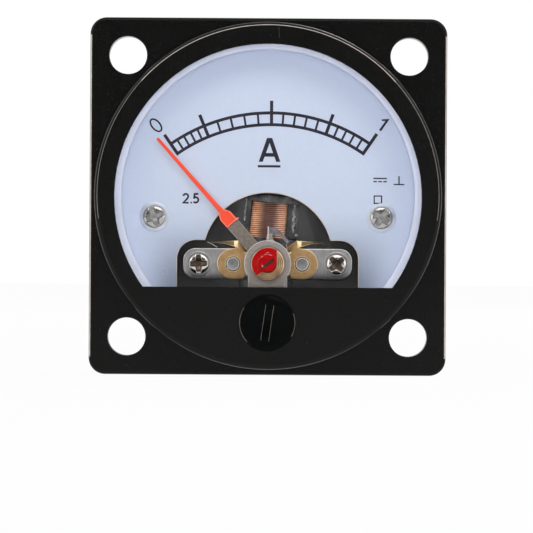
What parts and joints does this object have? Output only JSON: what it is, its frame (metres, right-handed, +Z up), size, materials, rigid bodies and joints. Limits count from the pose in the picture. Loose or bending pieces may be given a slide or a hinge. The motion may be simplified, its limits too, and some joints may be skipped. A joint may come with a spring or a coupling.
{
  "type": "analog panel meter",
  "caption": "Square-flanged analog panel meter with a round bezel, window, dial, red pointer, visible movement and zero adjuster.",
  "frame": {"origin": "centre of the flange, on its rear face, where it meets the panel", "axes": "+X to the reader's right, +Z up, +Y into the panel; the dial faces -Y"},
  "size_m": [0.05, 0.0505, 0.05],
  "materials": {
    "cover_black": "moulded, half matte",
    "case_black": "moulded, half matte",
    "window_clear": "clear, polished",
    "dial_white": "matte paint",
    "ink": "printed",
    "frame_black": "moulded, glossy",
    "copper": "enamelled winding wire",
    "steel": "brushed",
    "plated": "bright plated",
    "brass": "satin",
    "lacquer": "glossy lacquer",
    "lever_grey": "satin",
    "spring_bronze": "bright",
    "arm_grey": "matte",
    "pointer_red": "fluorescent red paint",
    "magnet": "sintered",
    "jewel": "polished",
    "lead_red": "soft insulation",
    "lead_black": "soft insulation"
  },
  "bodies": {
    "case": {"bar_screw_left": "plated", "bar_screw_right": "plated", "bearing_nut": "brass", "bobbin": "frame_black", "bridge_rivet_left": "plated", "bridge_rivet_right": "plated", "chassis": "frame_black", "chassis_screw_1": "plated", "chassis_screw_2": "plated", "chassis_screw_3": "plated", "chassis_screw_4": "plated", "coil_lead_left": "lead_black", "coil_lead_right": "lead_red", "coil_lower": "copper", "coil_upper": "copper", "damping_cup": "copper", "dial_plate": "dial_white", "dial_scale": "ink", "dial_screw_left": "plated", "dial_screw_right": "plated", "front_bearing_bush": "brass", "front_bearing_screw": "brass", "front_bridge": "brass", "front_cover": "cover_black", "front_jewel": "jewel", "lever_washer": "steel", "locking_lacquer": "lacquer", "rear_bearing_bush": "brass", "rear_bearing_nut": "brass", "rear_bearing_screw": "brass", "rear_case": "case_black", "rear_jewel": "jewel", "solder_tag_left": "plated", "solder_tag_right": "plated", "support_bar": "steel", "terminal_nut_left": "plated", "terminal_nut_right": "plated", "terminal_stud_left": "plated", "terminal_stud_right": "plated", "window": "window_clear"},
    "pointer_system": {"spindle": "steel", "rotor_magnet": "magnet", "pointer_arm": "arm_grey", "pointer": "pointer_red", "balance_weight": "brass", "spring_collet": "brass"},
    "zero_lever_arm": {"zero_lever": "lever_grey", "hairspring": "spring_bronze"},
    "zero_adjuster": {"zero_adjust_screw": "cover_black", "zero_screw_clip": "steel"}
  },
  "joints": [
    {"name": "pointer_swing", "type": "hinge", "parent": "case", "child": "pointer_system", "pos_m": [0, 0, -0.00945], "axis": [0, 1, 0], "range_deg": [-2, 84.5], "stiffness_Nm_per_rad": 0.00003},
    {"name": "zero_screw_turn", "type": "hinge", "parent": "case", "child": "zero_adjuster", "pos_m": [0, 0, -0.0176], "axis": [0, 1, 0], "range_deg": [-35, 35]},
    {"name": "zero_lever_swing", "type": "hinge", "parent": "case", "child": "zero_lever_arm", "pos_m": [0, 0, -0.00945], "axis": [0, 1, 0], "range_deg": [-4, 4]}
  ],
  "couplings": [
    {"joint": "zero_lever_swing", "follows": "zero_screw_turn", "ratio": 0.1075}
  ]
}
